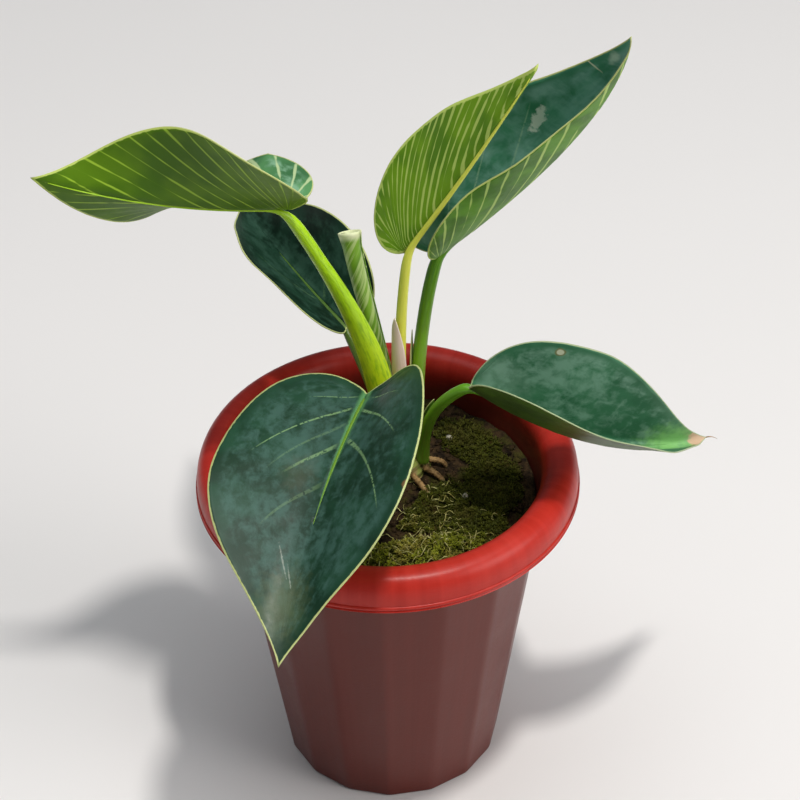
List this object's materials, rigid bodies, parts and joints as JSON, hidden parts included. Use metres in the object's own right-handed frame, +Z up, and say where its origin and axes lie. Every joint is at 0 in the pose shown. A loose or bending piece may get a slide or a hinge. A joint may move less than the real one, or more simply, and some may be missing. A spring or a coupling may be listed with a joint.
{
  "type": "potted philodendron",
  "caption": "Young heart-leaved foliage plant with upright and arching leaves, standing in a round panelled nursery pot with a rolled rim.",
  "frame": {"origin": "centre of the pot's foot, on the surface it stands on; the plant's overall box is centred on the pot's axis to within 2 mm", "axes": "+Z up along the pot's axis, +X to the viewer's right and -Y towards the viewer, the side the large drooping leaf hangs over"},
  "size_m": [0.2518, 0.261, 0.3301],
  "materials": {
    "pot_plastic": "satin terracotta-red moulded plastic",
    "potting_soil": "dark, crumbly, moist",
    "moss": "low tufted yellow-green moss",
    "dry_strand": "pale dry moss strands",
    "perlite": "rough off-white grains",
    "stem": "green-brown, ringed",
    "aerial_root": "dry tan root skin",
    "new_leaf": "soft light green with cream stripes, rolled",
    "cataphyll": "thin, pinkish white",
    "sheath": "thin green sheath",
    "petiole_green": "smooth satin green",
    "petiole_lime": "smooth satin yellow-green",
    "petiole_dark": "smooth satin dark green",
    "petiole_yellow": "smooth satin pale yellow",
    "blade_dark": "dark green with a grey-blue sheen, pale margin, faint broken stripes",
    "blade_striped": "lime underside with many cream stripes along the veins"
  },
  "bodies": {
    "root": {"pot": "pot_plastic", "soil": "potting_soil", "moss_front": "moss", "moss_front_right": "moss", "moss_right": "moss", "moss_right_back": "moss", "moss_back_left": "moss", "moss_left": "moss", "moss_tuft": "moss", "dry_strand_front": "dry_strand", "dry_strand_middle": "dry_strand", "perlite_grain_back": "perlite", "perlite_grain_right": "perlite", "stem": "stem", "aerial_root_1": "aerial_root", "aerial_root_2": "aerial_root", "aerial_root_3": "aerial_root", "rolled_new_leaf": "new_leaf", "cataphyll_pink": "cataphyll", "sheath_tall": "sheath", "sheath_low": "sheath", "petiole_front": "petiole_green", "petiole_left": "petiole_lime", "petiole_back": "petiole_dark", "petiole_centre": "petiole_yellow", "petiole_tall": "petiole_green", "petiole_low": "petiole_green", "blade_front": "blade_dark", "blade_left": "blade_striped", "blade_back": "blade_dark", "blade_centre": "blade_striped", "blade_tall": "blade_dark", "blade_low": "blade_dark"}
  },
  "joints": []
}
